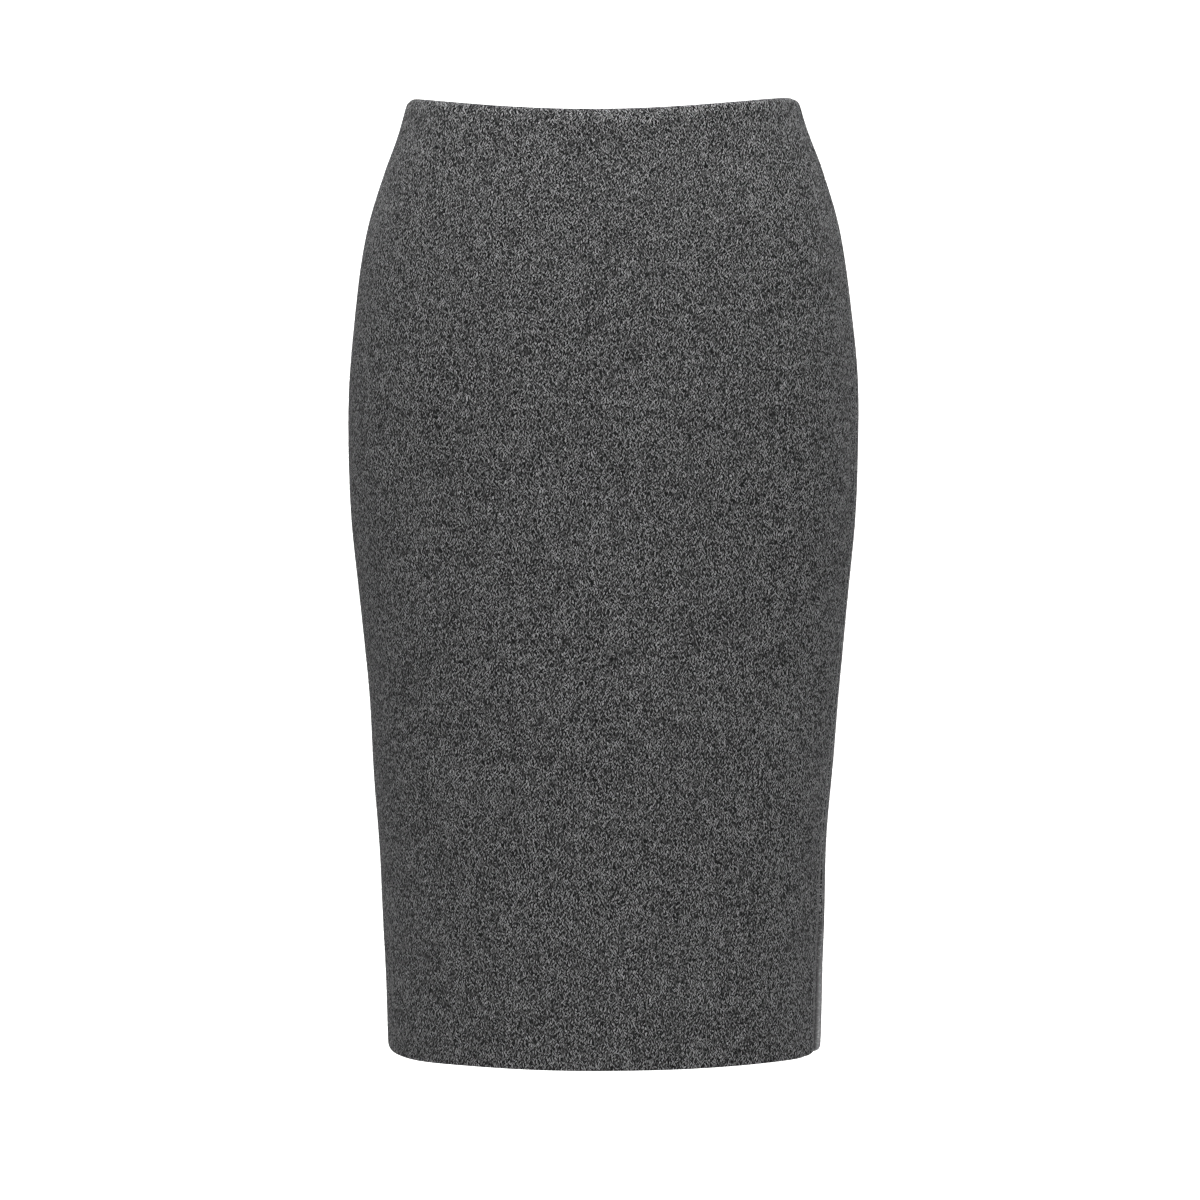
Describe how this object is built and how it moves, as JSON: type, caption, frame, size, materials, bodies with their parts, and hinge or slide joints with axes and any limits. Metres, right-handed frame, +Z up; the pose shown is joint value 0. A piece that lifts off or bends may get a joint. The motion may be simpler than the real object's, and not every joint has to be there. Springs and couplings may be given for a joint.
{
  "type": "pencil skirt",
  "caption": "Knee-length pencil skirt of thick heathered charcoal knit, filled out as worn, with a turned top edge, side seams and a turned hem.",
  "frame": {"origin": "middle of the waist opening, level with the top edge over the side seams, where the wearer's waist holds the skirt", "axes": "+Z up the garment, -Y to the front, +X to the right as seen from the front"},
  "size_m": [0.3396, 0.2444, 0.632],
  "materials": {
    "heather_knit": "matte, soft heathered charcoal knit with a short nap"
  },
  "bodies": {
    "root": {"front_panel": "heather_knit", "back_panel": "heather_knit"}
  },
  "joints": []
}
